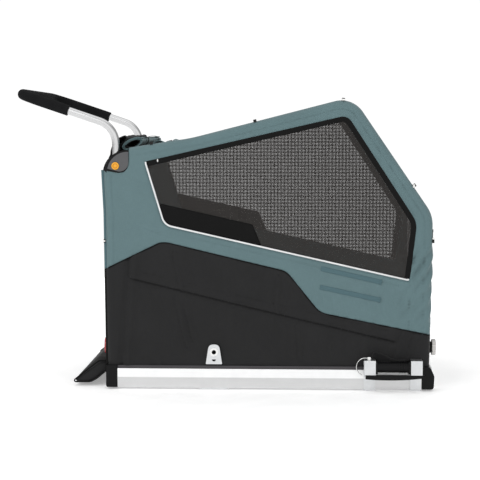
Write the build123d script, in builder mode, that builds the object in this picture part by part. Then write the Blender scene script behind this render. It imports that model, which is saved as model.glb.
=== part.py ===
"""Pet trailer for a bicycle, with its wheels and tow bar taken off.

Frame: +X is forward, +Y is the trailer's left, +Z is up, and Z = 0 is the ground that the base stands on.
Side pieces are modelled on the right (negative Y) and mirrored. Lengths are in millimetres.
"""

import math
import os

from build123d import *

# Driving dimensions
rail_low, rail_high = 5.0, 62.0
rail_width, rail_wall = 30.0, 2.5
base_half = 335.0
rail_rear_x, rail_front_x = -324.0, 566.0
base_rear_x, base_front_x = -358.0, 604.0
casting_top = 71.0
axle_x, axle_z, axle_bore_r = -40.0, 111.4, 6.4

fabric = 3.0
side_out = 332.0
sleeve_in = 300.0
centre_half = 298.0
fabric_low = casting_top + 0.2
sill_low, sill_high = 152.0, 156.0

tube_r, tube_wall = 11.0, 1.6
tube_y = 314.0
tube_inset = 18.0

pivot_x, pivot_z = -327.0, 656.0
hub_front_x, hub_low_z = -288.0, 634.0
button_r = 11.0
handle_r, handle_wall = 11.1, 1.5
grip_r = 15.5
grip_right_x, grip_left_x = -465.0, -427.0
handle_rear_x, handle_rear_z = -611.5, 866.0
handle_corner = (pivot_x, 770.0)

receiver_y, receiver_z, receiver_bore_r = 355.0, 73.0, 12.75
receiver_rear_x, receiver_front_x = 400.0, 566.0
lock_pocket_x, lock_pocket_r = 426.0, 14.0
strap_spans = ((398.0, 431.0), (533.0, 566.0))
pin_x, pin_r = 413.0, 4.0

spreader_x, spreader_r = 305.0, 8.0
spreader_pivot_y = 285.0
reflector_r, reflector_z, reflector_y = 24.0, 119.5, 262.0

# Side outline, from the rear foot up the back, over the roof and down the front, as (x, z)
roof_bend, peak = (-100.0, 738.0), (361.8, 856.2)
front_knee, front_foot = (597.0, 512.6), (590.0, fabric_low)
rear_foot, rear_bulge = (-354.0, fabric_low), (-359.0, 520.0)
rear_shoulder = (-365.0, hub_low_z - 0.5)
roof_slope = math.atan2(peak[1] - roof_bend[1], peak[0] - roof_bend[0])
rear_roof_slope = math.atan2(roof_bend[1] - 709.0, roof_bend[0] - hub_front_x)
side_outline = [
    rear_foot,
    rear_bulge,
    rear_shoulder,
    (hub_front_x, hub_low_z - 0.5),
    (hub_front_x, 709.0),
    roof_bend,
    peak,
    front_knee,
    front_foot,
]
side_radii = [0, 500, 0, 0, 6, 600, 75, 95, 0]

# Outline of the panels between the two sides: the rear header falls away behind the roof
centre_outline = [
    rear_foot,
    rear_bulge,
    (-363.5, 640.0),
    (-330.0, 660.0),
    (-222.0, 716.0),
    roof_bend,
    peak,
    front_knee,
    front_foot,
]
centre_radii = [0, 500, 12, 60, 40, 600, 75, 95, 0]

window = [(-240.0, 669.0), (347.0, 803.0), (550.0, 493.0), (530.0, 324.5), (-184.0, 484.5)]
window_radii = [4, 30, 60, 8, 35]

# Upper edge of the black skirt
skirt_edge = [(-354.0, 356.0), (-191.0, 435.0), (171.0, 349.0), (269.0, 228.0), (592.0, 164.0)]
skirt_edge_radii = [55, 45, 60]

os.makedirs("parts", exist_ok=True)


def save(label, part):
    """Names a finished piece and writes it as one STEP file."""
    part.label = label
    export_step(part, f"parts/{label}.step")


def save_sides(label, right):
    """Writes a right-hand piece and its mirror image as two nodes."""
    save(f"{label}_right", right)
    with BuildPart() as left:
        mirror(right, about=Plane.XZ)
    save(f"{label}_left", left.part)


def save_both(label, right):
    """Writes a right-hand piece and its mirror image as one node."""
    with BuildPart() as both:
        add(right)
        mirror(right, about=Plane.XZ)
    save(label, both.part)


def inset(points, distance):
    """Corners of a closed outline that runs clockwise in (x, z), moved inwards by a distance."""
    moved = []
    for i, (x, z) in enumerate(points):
        before, after = points[i - 1], points[(i + 1) % len(points)]
        a = Vector(x - before[0], z - before[1]).normalized()
        b = Vector(after[0] - x, after[1] - z).normalized()
        inward = Vector(a.Y + b.Y, -a.X - b.X)
        step = inward * (distance * 2 / inward.length**2)
        moved.append((x + step.X, z + step.Y))
    return moved


def slab(points, radii, near, far):
    """Fills a closed (x, z) outline from distance near to distance far right of the middle."""
    with BuildPart() as part:
        with BuildSketch(Plane.XZ.offset(near)):
            with BuildLine():
                FilletPolyline(*points, radius=radii, close=True)
            make_face()
        extrude(amount=far - near)
    return part.part


def block(x, y, z):
    """A box from its (low, high) limits along each axis."""
    with BuildPart() as part:
        with Locations(((x[0] + x[1]) / 2, (y[0] + y[1]) / 2, (z[0] + z[1]) / 2)):
            Box(x[1] - x[0], y[1] - y[0], z[1] - z[0])
    return part.part


def tube(points, radii, outer, inner):
    """A round tube along straight runs joined by tangent arcs."""
    with BuildPart() as part:
        with BuildLine() as path:
            if radii:
                FilletPolyline(*points, radius=radii)
            else:
                Line(*points)
        with BuildSketch(Plane(path.line @ 0, z_dir=path.line % 0)):
            Circle(outer)
            if inner:
                Circle(inner, mode=Mode.SUBTRACT)
        sweep(path=path.line)
    return part.part


def rod_y(x, z, radius, near, far):
    """A round bar across the trailer, from distance near to distance far right of the middle."""
    with BuildPart() as part:
        with BuildSketch(Plane.XZ.offset(near)):
            with Locations((x, z)):
                Circle(radius)
        extrude(amount=far - near)
    return part.part


def rod_z(x, y, radius, low, high):
    """An upright round bar."""
    with BuildPart() as part:
        with BuildSketch(Plane.XY.offset(low)):
            with Locations((x, y)):
                Circle(radius)
        extrude(amount=high - low)
    return part.part


def screw_spots(y):
    """Screw positions under one side of the base."""
    spots = [axle_x - 23, axle_x + 29]
    spots += [sum(span) / 2 for span in strap_spans]
    return [(x, y) for x in spots]


# Base frame: hollow rails with a groove along the outer face, plugged into corner castings
screw_y, screw_r = -321.0, 2.5
lean = 1.6


def side_rail():
    middle = (rail_low + rail_high) / 2
    with BuildPart() as rail:
        with BuildSketch(Plane.YZ.offset(rail_rear_x)):
            with Locations((-base_half + rail_width / 2, middle)):
                RectangleRounded(rail_width, rail_high - rail_low, 2)
                Rectangle(
                    rail_width - 2 * rail_wall,
                    rail_high - rail_low - 2 * rail_wall,
                    mode=Mode.SUBTRACT,
                )
            with Locations((-base_half, middle)):
                Rectangle(2.4, 3, mode=Mode.SUBTRACT)
            with BuildLine():
                Polyline(
                    (-base_half - 1, middle), (-base_half, middle),
                    (-base_half + lean, rail_low), (-base_half - 1, rail_low),
                    close=True,
                )
            make_face(mode=Mode.SUBTRACT)
        extrude(amount=rail_front_x - rail_rear_x)
        with Locations(*[(x, y, rail_low + rail_wall / 2) for x, y in screw_spots(screw_y)]):
            Cylinder(screw_r, rail_wall * 2, mode=Mode.SUBTRACT)
    return rail.part


def cross_rail(x_low, half_length):
    with BuildPart() as rail:
        with BuildSketch(Plane.XZ.offset(-half_length)):
            with Locations((x_low + rail_width / 2, (rail_low + rail_high) / 2)):
                RectangleRounded(rail_width, rail_high - rail_low, 2)
                Rectangle(
                    rail_width - 2 * rail_wall,
                    rail_high - rail_low - 2 * rail_wall,
                    mode=Mode.SUBTRACT,
                )
        extrude(amount=2 * half_length)
    return rail.part


def corner_castings():
    """Rear and front corner on the right, each with plugs for two rails and a hoop tube."""
    plug_w = rail_width - 2 * rail_wall - 0.4
    plug_z = (rail_low + rail_wall + 0.2, rail_high - rail_wall - 0.2)
    plug_y = -base_half + rail_width / 2
    rear_profile = [
        (base_rear_x, rail_low + 1),
        (base_rear_x, casting_top),
        (rail_rear_x, casting_top),
        (rail_rear_x, rail_low + 1),
    ]
    front_profile = [
        (rail_front_x, rail_low),
        (rail_front_x, casting_top),
        (592.0, casting_top),
        (base_front_x, 44.0),
        (base_front_x - 2, rail_low),
    ]
    with BuildPart() as castings:
        add(slab(rear_profile, [5, 4, 2, 2], 301, base_half))
        add(block((rail_rear_x, rail_rear_x + 25), (plug_y - plug_w / 2, plug_y + plug_w / 2), plug_z))
        cross_x = base_rear_x + 2 + rail_width / 2
        add(block((cross_x - plug_w / 2, cross_x + plug_w / 2), (-301, -276), plug_z))
        add(rod_z(-338, -tube_y, tube_r - tube_wall - 0.6, casting_top, casting_top + 16))
        add(slab(front_profile, [2, 2, 14, 16, 8], 297, base_half))
        add(block((rail_front_x - 25, rail_front_x), (plug_y - plug_w / 2, plug_y + plug_w / 2), plug_z))
        cross_x = 570 + rail_width / 2
        add(block((cross_x - plug_w / 2, cross_x + plug_w / 2), (-297, -272), plug_z))
        add(rod_z(575.4, -tube_y, tube_r - tube_wall - 0.6, casting_top, casting_top + 16))
    return castings.part


save_sides("rail", side_rail())
save("rail_rear", cross_rail(base_rear_x + 2, 301))
save("rail_front", cross_rail(570.0, 297))
save_both("corner_castings", corner_castings())

# Floor: three cross braces, a rigid panel and a padded mat
with BuildPart() as floor_braces:
    for x in (-230, 120, 440):
        add(block((x - 10, x + 10), (-305, 305), (8, 28)))
        add(block((x - 8, x + 8), (-305, 305), (10, 26)), mode=Mode.SUBTRACT)
save("floor_braces", floor_braces.part)
save("floor_panel", block((-325.5, 565.5), (-sleeve_in, sleeve_in), (28, 36)))
with BuildPart() as floor_mat:
    add(block((-316, 560), (-290, 290), (36.3, 58)))
    fillet(floor_mat.edges().filter_by(Axis.Z), 25)
    fillet(floor_mat.faces().sort_by(Axis.Z)[-1].edges(), 8)
save("floor_mat", floor_mat.part)

# Wheel sockets: a bent bracket under the rail, a bushing and an outer plate on each side
with BuildPart() as bracket:
    bracket_outline = [(-81, 2), (-81, 90), (-58, 134), (-22, 134), (1, 90), (1, 2)]
    add(slab(bracket_outline, [0, 12, 10, 10, 12, 0], 301, 305))
    add(block((-81, 1), (-base_half + 2, -305), (2, rail_low)))
    with Locations(*[(x, y, 3.5) for x, y in screw_spots(screw_y)[:2]]):
        Cylinder(screw_r, 6, mode=Mode.SUBTRACT)
    add(rod_y(axle_x, axle_z, 12, 300, 306), mode=Mode.SUBTRACT)
save_both("axle_brackets", bracket.part)

with BuildPart() as bushing:
    add(rod_y(axle_x, axle_z, 12, 285, 337))
    add(rod_y(axle_x, axle_z, axle_bore_r, 284, 338), mode=Mode.SUBTRACT)
save_both("axle_bushings", bushing.part)

plate_profile = [(axle_x - 24, 76), (axle_x - 15, 134), (axle_x + 15, 134), (axle_x + 24, 76)]
with BuildPart() as axle_plate:
    add(slab(plate_profile, [2, 14, 14, 2], side_out + 0.3, side_out + 3.8))
    add(rod_y(axle_x, axle_z, 12, side_out, side_out + 5), mode=Mode.SUBTRACT)
    with BuildSketch(Plane.XZ.offset(side_out)):
        with BuildLine():
            rim = ThreePointArc((axle_x - 6, 90), (axle_x, 84), (axle_x + 6, 90))
            Line(rim @ 1, rim @ 0)
        make_face()
    extrude(amount=5, mode=Mode.SUBTRACT)
save_both("axle_plates", axle_plate.part)

with BuildPart() as screws:
    with Locations(*[(x, y, 1) for x, y in screw_spots(screw_y)]):
        Cylinder(5.5, 2)
    fillet(screws.faces().sort_by(Axis.Z)[0:4].edges(), 0.8)
    with Locations(*[(x, y, 4.7) for x, y in screw_spots(screw_y)]):
        Cylinder(screw_r - 0.1, 5.4)
save_both("base_screws", screws.part)

# Hoops: one upright behind, and one tube over the roof and down the front
hoop_corners = inset(side_outline, tube_inset)
hoop_drop = (hoop_corners[5][0] - hub_front_x) * math.tan(rear_roof_slope)
hoop_start = (hub_front_x + 2, hoop_corners[5][1] - hoop_drop)
hoop_path = [hoop_start, hoop_corners[5], hoop_corners[6], hoop_corners[7], (575.4, casting_top + 0.3)]
with BuildPart() as hoop:
    upright = [(-338, -tube_y, casting_top + 0.3), (-344.5, -tube_y, hub_low_z - 0.3)]
    add(tube(upright, None, tube_r, tube_r - tube_wall))
    roof_tube = [(x, -tube_y, z) for x, z in hoop_path]
    add(tube(roof_tube, [600, 60, 80], tube_r, tube_r - tube_wall))
save_sides("hoop", hoop.part)

# Roof spreader bar: hinged on the left hoop, snapped into a clip on the right one
spreader_z = hoop_corners[6][1] - (hoop_corners[6][0] - spreader_x) * math.tan(roof_slope)
along_roof = Vector(math.cos(roof_slope), 0, math.sin(roof_slope))
roof_normal = Vector(-math.sin(roof_slope), 0, math.cos(roof_slope))


def roof_plane(y):
    """Plane square to the roof tube at the spreader bar, with local x to the left and y out of the roof."""
    return Plane((spreader_x, y, spreader_z), x_dir=(0, 1, 0), z_dir=along_roof)


def roof_tangent_plane(y):
    """Plane along the roof at the spreader bar, with local x forward and z out of the roof."""
    return Plane((spreader_x, y, spreader_z), x_dir=along_roof, z_dir=roof_normal)


def roof_rod(y, reach):
    """A bar where the roof tube runs past the spreader bar."""
    ends = [(spreader_x + t * along_roof.X, y, spreader_z + t * along_roof.Z) for t in (-reach, reach)]
    return tube(ends, None, tube_r, 0)


def hoop_clamp(y):
    with BuildPart() as clamp:
        with BuildSketch(roof_plane(y).offset(-9)):
            Circle(14)
            Circle(tube_r, mode=Mode.SUBTRACT)
        extrude(amount=18)
    return clamp.part


with BuildPart() as spreader_pivot:
    add(hoop_clamp(tube_y))
    for low in (-11.0, spreader_r + 0.3):
        with BuildSketch(roof_tangent_plane(spreader_pivot_y).offset(low)):
            with Locations((0, 5)):
                Rectangle(18, 30)
        extrude(amount=11 - spreader_r - 0.3)
    with BuildSketch(roof_tangent_plane(spreader_pivot_y).offset(-11)):
        Circle(3)
    extrude(amount=22)
    add(roof_rod(tube_y, 12), mode=Mode.SUBTRACT)
save("spreader_pivot", spreader_pivot.part)

with BuildPart() as spreader_bar:
    add(rod_y(spreader_x, spreader_z, spreader_r, -spreader_pivot_y - 8, 298))
    add(rod_y(spreader_x, spreader_z, spreader_r - 1.5, -spreader_pivot_y + 20, 290), mode=Mode.SUBTRACT)
    with BuildSketch(roof_tangent_plane(spreader_pivot_y).offset(-10)):
        Circle(3.05)
    extrude(amount=20, mode=Mode.SUBTRACT)
save("spreader_bar", spreader_bar.part)

with BuildPart() as spreader_clip:
    add(hoop_clamp(-tube_y))
    with BuildSketch(roof_tangent_plane(-287).offset(-11)):
        with Locations((1.3, 0)):
            Rectangle(20, 30)
    extrude(amount=22)
    with BuildSketch(roof_tangent_plane(-287).offset(-spreader_r - 0.3)):
        with Locations((-1.7, 0)):
            Rectangle(20, 40)
    extrude(amount=2 * spreader_r + 0.6, mode=Mode.SUBTRACT)
    add(roof_rod(-tube_y, 14), mode=Mode.SUBTRACT)
save("spreader_clip", spreader_clip.part)

# Handlebar hub: housing with a slot for the leg, outer cover, pin, release button and its spring
plate_in, slot_in, slot_out, plate_out = 292.0, 302.0, 326.0, 330.0
cover_out = plate_out + 4


def hub_plate(near, far):
    with BuildPart() as plate:
        with BuildSketch(Plane.XZ.offset(near)):
            with BuildLine():
                arc = ThreePointArc((-363, 645), (-342, 683), (hub_front_x, 701))
                Polyline(arc @ 1, (hub_front_x, hub_low_z), (-350, hub_low_z), arc @ 0)
            make_face()
        extrude(amount=far - near)
    return plate.part


with BuildPart() as hub_housing:
    add(hub_plate(plate_in, plate_out))
    with BuildSketch(Plane.XZ.offset(slot_in)):
        with BuildLine():
            Polyline((-370, 639), (-302, 639), (-302, 715), (-370, 715), close=True)
        make_face()
    extrude(amount=slot_out - slot_in, mode=Mode.SUBTRACT)
    add(rod_y(pivot_x, pivot_z, 5, plate_in, slot_in), mode=Mode.SUBTRACT)
    add(rod_y(pivot_x, pivot_z, button_r + 0.3, slot_out, plate_out), mode=Mode.SUBTRACT)
save_sides("hub_housing", hub_housing.part)

with BuildPart() as hub_cover:
    with BuildSketch(Plane.XZ.offset(plate_out)):
        with BuildLine():
            top = ThreePointArc((-350, 648), (-332, 681), (hub_front_x - 1, 697))
            Line(top @ 1, (hub_front_x - 1, 662))
            toe = ThreePointArc((hub_front_x - 1, 662), (-298, 646), (-318, 640))
            Line(toe @ 1, top @ 0)
        make_face()
    extrude(amount=cover_out - plate_out)
    add(rod_y(pivot_x, pivot_z, button_r + 0.3, plate_out, cover_out), mode=Mode.SUBTRACT)
save_sides("hub_cover", hub_cover.part)

with BuildPart() as pivot_pin:
    add(rod_y(pivot_x, pivot_z, 5, plate_in, 317.5))
    add(rod_y(pivot_x, pivot_z, 9, plate_in - 4, plate_in))
save_both("pivot_pins", pivot_pin.part)

with BuildPart() as release_button:
    add(rod_y(pivot_x, pivot_z, button_r, 324.2, cover_out + 3))
    fillet(release_button.faces().sort_by(Axis.Y)[0].edges(), 1.5)
    add(rod_y(pivot_x, pivot_z, 6, cover_out + 2, cover_out + 4), mode=Mode.SUBTRACT)
    add(rod_y(pivot_x, pivot_z, 4.5, cover_out + 1.5, cover_out + 2.6))
    add(rod_y(pivot_x, pivot_z, 12.5, 324.2, slot_out - 0.1))
save_sides("release_button", release_button.part)

with BuildPart() as button_spring:
    with BuildLine() as coil:
        Helix(pitch=1.5, height=4.5, radius=8, center=(pivot_x, -319.0, pivot_z), direction=(0, -1, 0))
    with BuildSketch(Plane(coil.line @ 0, z_dir=coil.line % 0)):
        Circle(0.5)
    sweep(path=coil.line, is_frenet=True)
save_sides("button_spring", button_spring.part)

# Handlebar: one bent tube, a foam grip round its rear end, and a plastic end in each leg
handle_rise = (handle_rear_z - handle_corner[1]) / (handle_corner[0] - handle_rear_x)
handle_low = (pivot_x, pivot_z + 16)
leg = [handle_low, handle_corner, (handle_rear_x, handle_rear_z)]
handle_path = [(x, -tube_y, z) for x, z in leg] + [(x, tube_y, z) for x, z in reversed(leg)]
save("handlebar_tube", tube(handle_path, [70, 75, 75, 70], handle_r, handle_r - handle_wall))

grip_ends = [
    (x, y, handle_corner[1] + (handle_corner[0] - x) * handle_rise)
    for x, y in ((grip_right_x, -tube_y), (grip_left_x, tube_y))
]
grip_path = [grip_ends[0], handle_path[2], handle_path[3], grip_ends[1]]
save("handlebar_grip", tube(grip_path, [75, 75], grip_r, handle_r))

with BuildPart() as leg_end:
    add(rod_y(pivot_x, pivot_z, 14.5, 303, 318))
    add(rod_z(pivot_x, -tube_y, handle_r - handle_wall - 0.1, pivot_z + 13, pivot_z + 45))
    add(rod_y(pivot_x, pivot_z, 5.05, 302, 319), mode=Mode.SUBTRACT)
save_both("leg_ends", leg_end.part)

# Tow-arm receiver: moulded body with a bore, tray below, two steel straps, and a lock pin with its bail
def rod_x(y, z, radius, low, high):
    """A round bar along the trailer."""
    with BuildPart() as part:
        with BuildSketch(Plane.YZ.offset(low)):
            with Locations((y, z)):
                Circle(radius)
        extrude(amount=high - low)
    return part.part


with BuildPart() as receiver:
    for low, high in ((receiver_rear_x, 437), (526, receiver_front_x)):
        with BuildSketch(Plane.YZ.offset(low)):
            with Locations((-receiver_y, receiver_z)):
                RectangleRounded(33.6, 37.6, 6)
        extrude(amount=high - low)
    add(rod_x(-receiver_y, receiver_z, 15.2, 430, 530))
    for x in (500, 507, 514):
        add(rod_x(-receiver_y, receiver_z, 16.4, x, x + 3.5))
    add(rod_x(-receiver_y, receiver_z, receiver_bore_r, 390, 570), mode=Mode.SUBTRACT)
    add(rod_x(-receiver_y, receiver_z, lock_pocket_r, 390, lock_pocket_x), mode=Mode.SUBTRACT)
    add(rod_z(pin_x, -receiver_y, pin_r + 0.1, 50, 100), mode=Mode.SUBTRACT)
save_sides("receiver", receiver.part)

with BuildPart() as tray:
    with BuildSketch(Plane.XZ.offset(362)):
        with BuildLine():
            belly = ThreePointArc((402, 41), (490, 38.5), (572, 45))
            Polyline(belly @ 1, (572, 52.5), (402, 52.5), belly @ 0)
        make_face()
    extrude(amount=14)
save_both("receiver_trays", tray.part)

with BuildPart() as straps:
    for low, high in strap_spans:
        add(block((low, high), (-base_half - 3, -base_half), (2, 94.8)))
        add(block((low, high), (-base_half - 3, -308), (2, rail_low)))
        add(block((low, high), (-375, -base_half), (91.8, 94.8)))
        add(block((low, high), (-375, -372), (53, 94.8)))
    with Locations(*[(x, y, 3.5) for x, y in screw_spots(screw_y)[2:]]):
        Cylinder(screw_r, 6, mode=Mode.SUBTRACT)
    add(rod_z(pin_x, -receiver_y, pin_r + 0.1, 90, 96), mode=Mode.SUBTRACT)
save_both("receiver_straps", straps.part)

bail_x, bail_z, bail_r, bail_start = 402.0, 74.0, 26.0, 70.0
wire_r, eye_r = 1.25, 1.7
bail_hinge = (
    bail_x + bail_r * math.cos(math.radians(bail_start)),
    bail_z + bail_r * math.sin(math.radians(bail_start)),
)
with BuildPart() as hitch_pin:
    add(rod_z(pin_x, -receiver_y, pin_r, 50, 95))
    add(rod_z(pin_x, -receiver_y, 6.5, 95, 104))
    chamfer(hitch_pin.faces().sort_by(Axis.Z)[0].edges(), 1.5)
    fillet(hitch_pin.faces().sort_by(Axis.Z)[-1].edges(), 2)
    slot_y = (-receiver_y - 2, -receiver_y + 2)
    add(block((pin_x - 10, pin_x + 3), slot_y, (96, 105)), mode=Mode.SUBTRACT)
    add(rod_y(bail_hinge[0], bail_hinge[1], eye_r + 0.1, receiver_y - 8, receiver_y + 8), mode=Mode.SUBTRACT)
save_sides("hitch_pin", hitch_pin.part)

with BuildPart() as bail:
    with BuildLine(Plane.XZ.offset(receiver_y)) as bail_path:
        CenterArc((bail_x, bail_z), bail_r, bail_start, 180)
    with BuildSketch(Plane(bail_path.line @ 0, z_dir=bail_path.line % 0)):
        Circle(wire_r)
    sweep(path=bail_path.line)
    add(rod_y(bail_hinge[0], bail_hinge[1], eye_r, receiver_y - 4.5, receiver_y + 4.5))
save_sides("pin_bail", bail.part)

tether_path = [(423, 96.5), (423, 118), (448, 110), (484, 93.5), (530, 93.5)]
with BuildPart() as tether:
    with BuildLine(Plane.XZ.offset(348)) as tether_line:
        FilletPolyline(*tether_path, radius=[9, 40, 30])
    with BuildSketch(Plane(tether_line.line @ 0, x_dir=(0, 1, 0), z_dir=tether_line.line % 0)):
        Rectangle(12, 1.6)
    sweep(path=tether_line.line)
save_both("pin_tethers", tether.part)

# Side cover: flat panel with a sleeve round the hoop, a mesh window and a black skirt
hollow_outline = inset(side_outline, fabric)
hollow_outline[0] = (hollow_outline[0][0], 60)
hollow_outline[2] = (hollow_outline[2][0], 640)
hollow_outline[3] = (hub_front_x - 8, 640)
hollow_outline[4] = (hub_front_x - 8, hollow_outline[4][1] - 0.8)
hollow_outline[8] = (hollow_outline[8][0], 60)
below_skirt_edge = skirt_edge + [(640, 164), (640, 0), (-400, 0), (-400, 356)]
with BuildPart() as side_shell:
    add(slab(side_outline, side_radii, sleeve_in, side_out))
    hollow = slab(hollow_outline, [0, 497, 0, 0, 0, 597, 72, 92, 0], sleeve_in - 1, side_out - fabric)
    add(hollow, mode=Mode.SUBTRACT)
with BuildPart() as skirt_zone:
    add(slab(below_skirt_edge, [0] + skirt_edge_radii + [0] * 5, 290, 340))

with BuildPart() as side_upper:
    add(side_shell.part)
    add(skirt_zone.part, mode=Mode.SUBTRACT)
    add(slab(window, window_radii, side_out - 10, side_out + 1), mode=Mode.SUBTRACT)
save_sides("side_upper", side_upper.part)

with BuildPart() as side_skirt:
    add(side_shell.part)
    add(skirt_zone.part, mode=Mode.INTERSECT)
    add(rod_y(axle_x, axle_z, 12.3, 290, 340), mode=Mode.SUBTRACT)
save_sides("side_skirt", side_skirt.part)

save_sides("side_mesh", slab(window, window_radii, side_out - 2.5, side_out - 1))

# Panels between the sides: all cut from one band that follows the outline
with BuildPart() as band:
    add(slab(centre_outline, centre_radii, -centre_half, centre_half))
    core = inset(centre_outline, fabric)
    core[0], core[8] = (core[0][0], 60), (core[8][0], 60)
    hollow = slab(core, [0, 497, 9, 57, 43, 597, 72, 92, 0], -centre_half - 1, centre_half + 1)
    add(hollow, mode=Mode.SUBTRACT)


def panel(x, z, half_width=centre_half):
    """The stretch of the band inside one range of x and one of z."""
    with BuildPart() as part:
        add(band.part)
        add(block(x, (-half_width, half_width), z), mode=Mode.INTERSECT)
    return part.part


save("rear_apron", panel((-400, -300), (0, sill_low)))
save("rear_door", panel((-400, -300), (sill_high, 628)))
save("rear_header", panel((-400, -223), (630, 800), 286))
save("roof_cover", panel((-222, 340), (600, 900)))
save("front_door_upper", panel((341, 700), (482, 900)))
save("front_door_lower", panel((500, 700), (sill_high, 481)))
save("front_apron", panel((500, 700), (0, sill_low)))

with BuildPart() as rolled_cover:
    with BuildSketch(Plane.XZ.offset(-288)):
        with Locations((-281, 720)):
            Ellipse(33.5, 15, rotation=23)
    extrude(amount=576)
save("rolled_cover", rolled_cover.part)

flap_profile = [(-360, 86), (-386, 86), (-466, 10), (-460, 4), (-416, 5), (-395, 17), (-360, 48)]
rear_flap = slab(flap_profile, [3, 14, 3, 3, 14, 20, 5], -290, 290)
save("rear_flap", rear_flap)

with BuildPart() as hem_strips:
    add(block((rail_rear_x + 1, rail_front_x - 1), (-333, -322), (rail_high, casting_top)))
    add(block((rail_rear_x + 1, rail_front_x - 1), (322, 333), (rail_high, casting_top)))
    add(block((-356, -347), (-sleeve_in, sleeve_in), (rail_high, casting_top)))
    add(block((583, 592), (-296, 296), (rail_high, casting_top)))
save("hem_strips", hem_strips.part)


# Reflectors on moulded bosses, one pair in front and one behind
def discs(x, length, radius):
    """A pair of discs square to X, one near each side."""
    with BuildPart() as pair:
        with BuildSketch(Plane.YZ.offset(x)):
            with Locations((-reflector_y, reflector_z), (reflector_y, reflector_z)):
                Circle(radius)
        extrude(amount=length)
    return pair.part


front_boss_x, rear_boss_x = 592.0, -356.0
with BuildPart() as reflector_bases:
    add(discs(front_boss_x, 9, 17))
    add(discs(rear_boss_x - 5, 5, 17))
save("reflector_bases", reflector_bases.part)
for label, x in (("front_reflectors", front_boss_x + 9), ("rear_reflectors", rear_boss_x - 13)):
    with BuildPart() as reflectors:
        add(discs(x, 8 if x < 0 else 11, reflector_r))
        fillet(reflectors.edges().filter_by(GeomType.CIRCLE), 1.2)
    save(label, reflectors.part)

# Small trim: stake loops along the sleeve, and the zip pulls of the front door
front_slope = math.atan2(front_knee[1] - peak[1], front_knee[0] - peak[0])
loop_spots = [
    ((80.0, 783.0), roof_slope),
    ((-222.0, 718.5), rear_roof_slope),
    ((335.0, 845.0), -0.08),
    ((539.0, 598.0), front_slope),
]
with BuildPart() as loops:
    for (x, z), angle in loop_spots:
        along = (math.cos(angle), 0, math.sin(angle))
        foot = Plane((x, -316, z), x_dir=along, z_dir=(-along[2], 0, along[0]))
        with BuildSketch(foot):
            Rectangle(9, 14)
        extrude(amount=8)
    for x, z in ((598.0, 438.0), (-361.0, 436.0)):
        add(block((x - 3, x + 3), (-323, -309), (z - 5, z + 5)))
    add(side_shell.part, mode=Mode.SUBTRACT)
save_both("cover_loops", loops.part)

with BuildPart() as zip_pull:
    add(block((597, 600), (-297, -290), (463, 471)))
    add(block((597.8, 599.2), (-296, -291), (440, 463)))
save_both("zip_pulls", zip_pull.part)
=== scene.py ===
"""The looks of a pet trailer's cabin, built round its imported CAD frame. Metres, +X forward, +Z up."""

import math

import bpy
import numpy as np
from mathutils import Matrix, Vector, noise
from mathutils.geometry import delaunay_2d_cdt


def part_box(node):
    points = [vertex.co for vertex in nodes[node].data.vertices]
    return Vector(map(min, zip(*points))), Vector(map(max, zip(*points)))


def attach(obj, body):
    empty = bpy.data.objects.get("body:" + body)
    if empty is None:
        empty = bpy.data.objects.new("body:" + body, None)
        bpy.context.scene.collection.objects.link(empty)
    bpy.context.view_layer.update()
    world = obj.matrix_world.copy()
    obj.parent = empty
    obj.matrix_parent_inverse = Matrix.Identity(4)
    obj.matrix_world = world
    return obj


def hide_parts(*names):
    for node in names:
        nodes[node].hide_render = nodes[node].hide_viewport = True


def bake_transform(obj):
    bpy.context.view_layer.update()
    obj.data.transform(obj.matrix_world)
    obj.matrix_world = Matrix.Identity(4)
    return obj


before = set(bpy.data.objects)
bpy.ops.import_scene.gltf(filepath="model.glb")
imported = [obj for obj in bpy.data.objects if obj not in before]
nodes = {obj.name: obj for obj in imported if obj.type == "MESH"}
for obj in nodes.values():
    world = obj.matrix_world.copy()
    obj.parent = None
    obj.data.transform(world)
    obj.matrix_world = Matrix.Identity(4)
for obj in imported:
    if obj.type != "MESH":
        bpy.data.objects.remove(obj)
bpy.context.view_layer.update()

# ---------------------------------------------------------------- driving sizes, as in the CAD frame
side_out = -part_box("side_skirt_right")[0][1]
sleeve_in = 0.300
fabric_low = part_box("side_skirt_right")[0][2]
roof_bend, peak = (-0.100, 0.738), (0.3618, 0.8562)
front_knee, front_foot = (0.597, 0.5126), (0.590, fabric_low)
rear_foot, rear_bulge, rear_shoulder = (-0.354, fabric_low), (-0.359, 0.520), (-0.365, 0.644)
hub_top = (-0.288, 0.709)
window_corners = [(-0.240, 0.669), (0.347, 0.803), (0.550, 0.493), (0.530, 0.3245), (-0.184, 0.4845)]
window_radii = [0.004, 0.030, 0.060, 0.008, 0.035]
skirt_corners = [(-0.354, 0.356), (-0.191, 0.435), (0.171, 0.349), (0.269, 0.228), (0.592, 0.164)]
skirt_radii = [0, 0.055, 0.045, 0.060, 0]
rear_join, front_join = skirt_corners[0][1], skirt_corners[-1][1]
eyelet, eyelet_r = (-0.04, 0.1114), 0.0128
wrap_r = 0.020
wrap_run = wrap_r * math.pi / 2 + side_out - wrap_r - sleeve_in
cloth_thick = 0.0012


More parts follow.
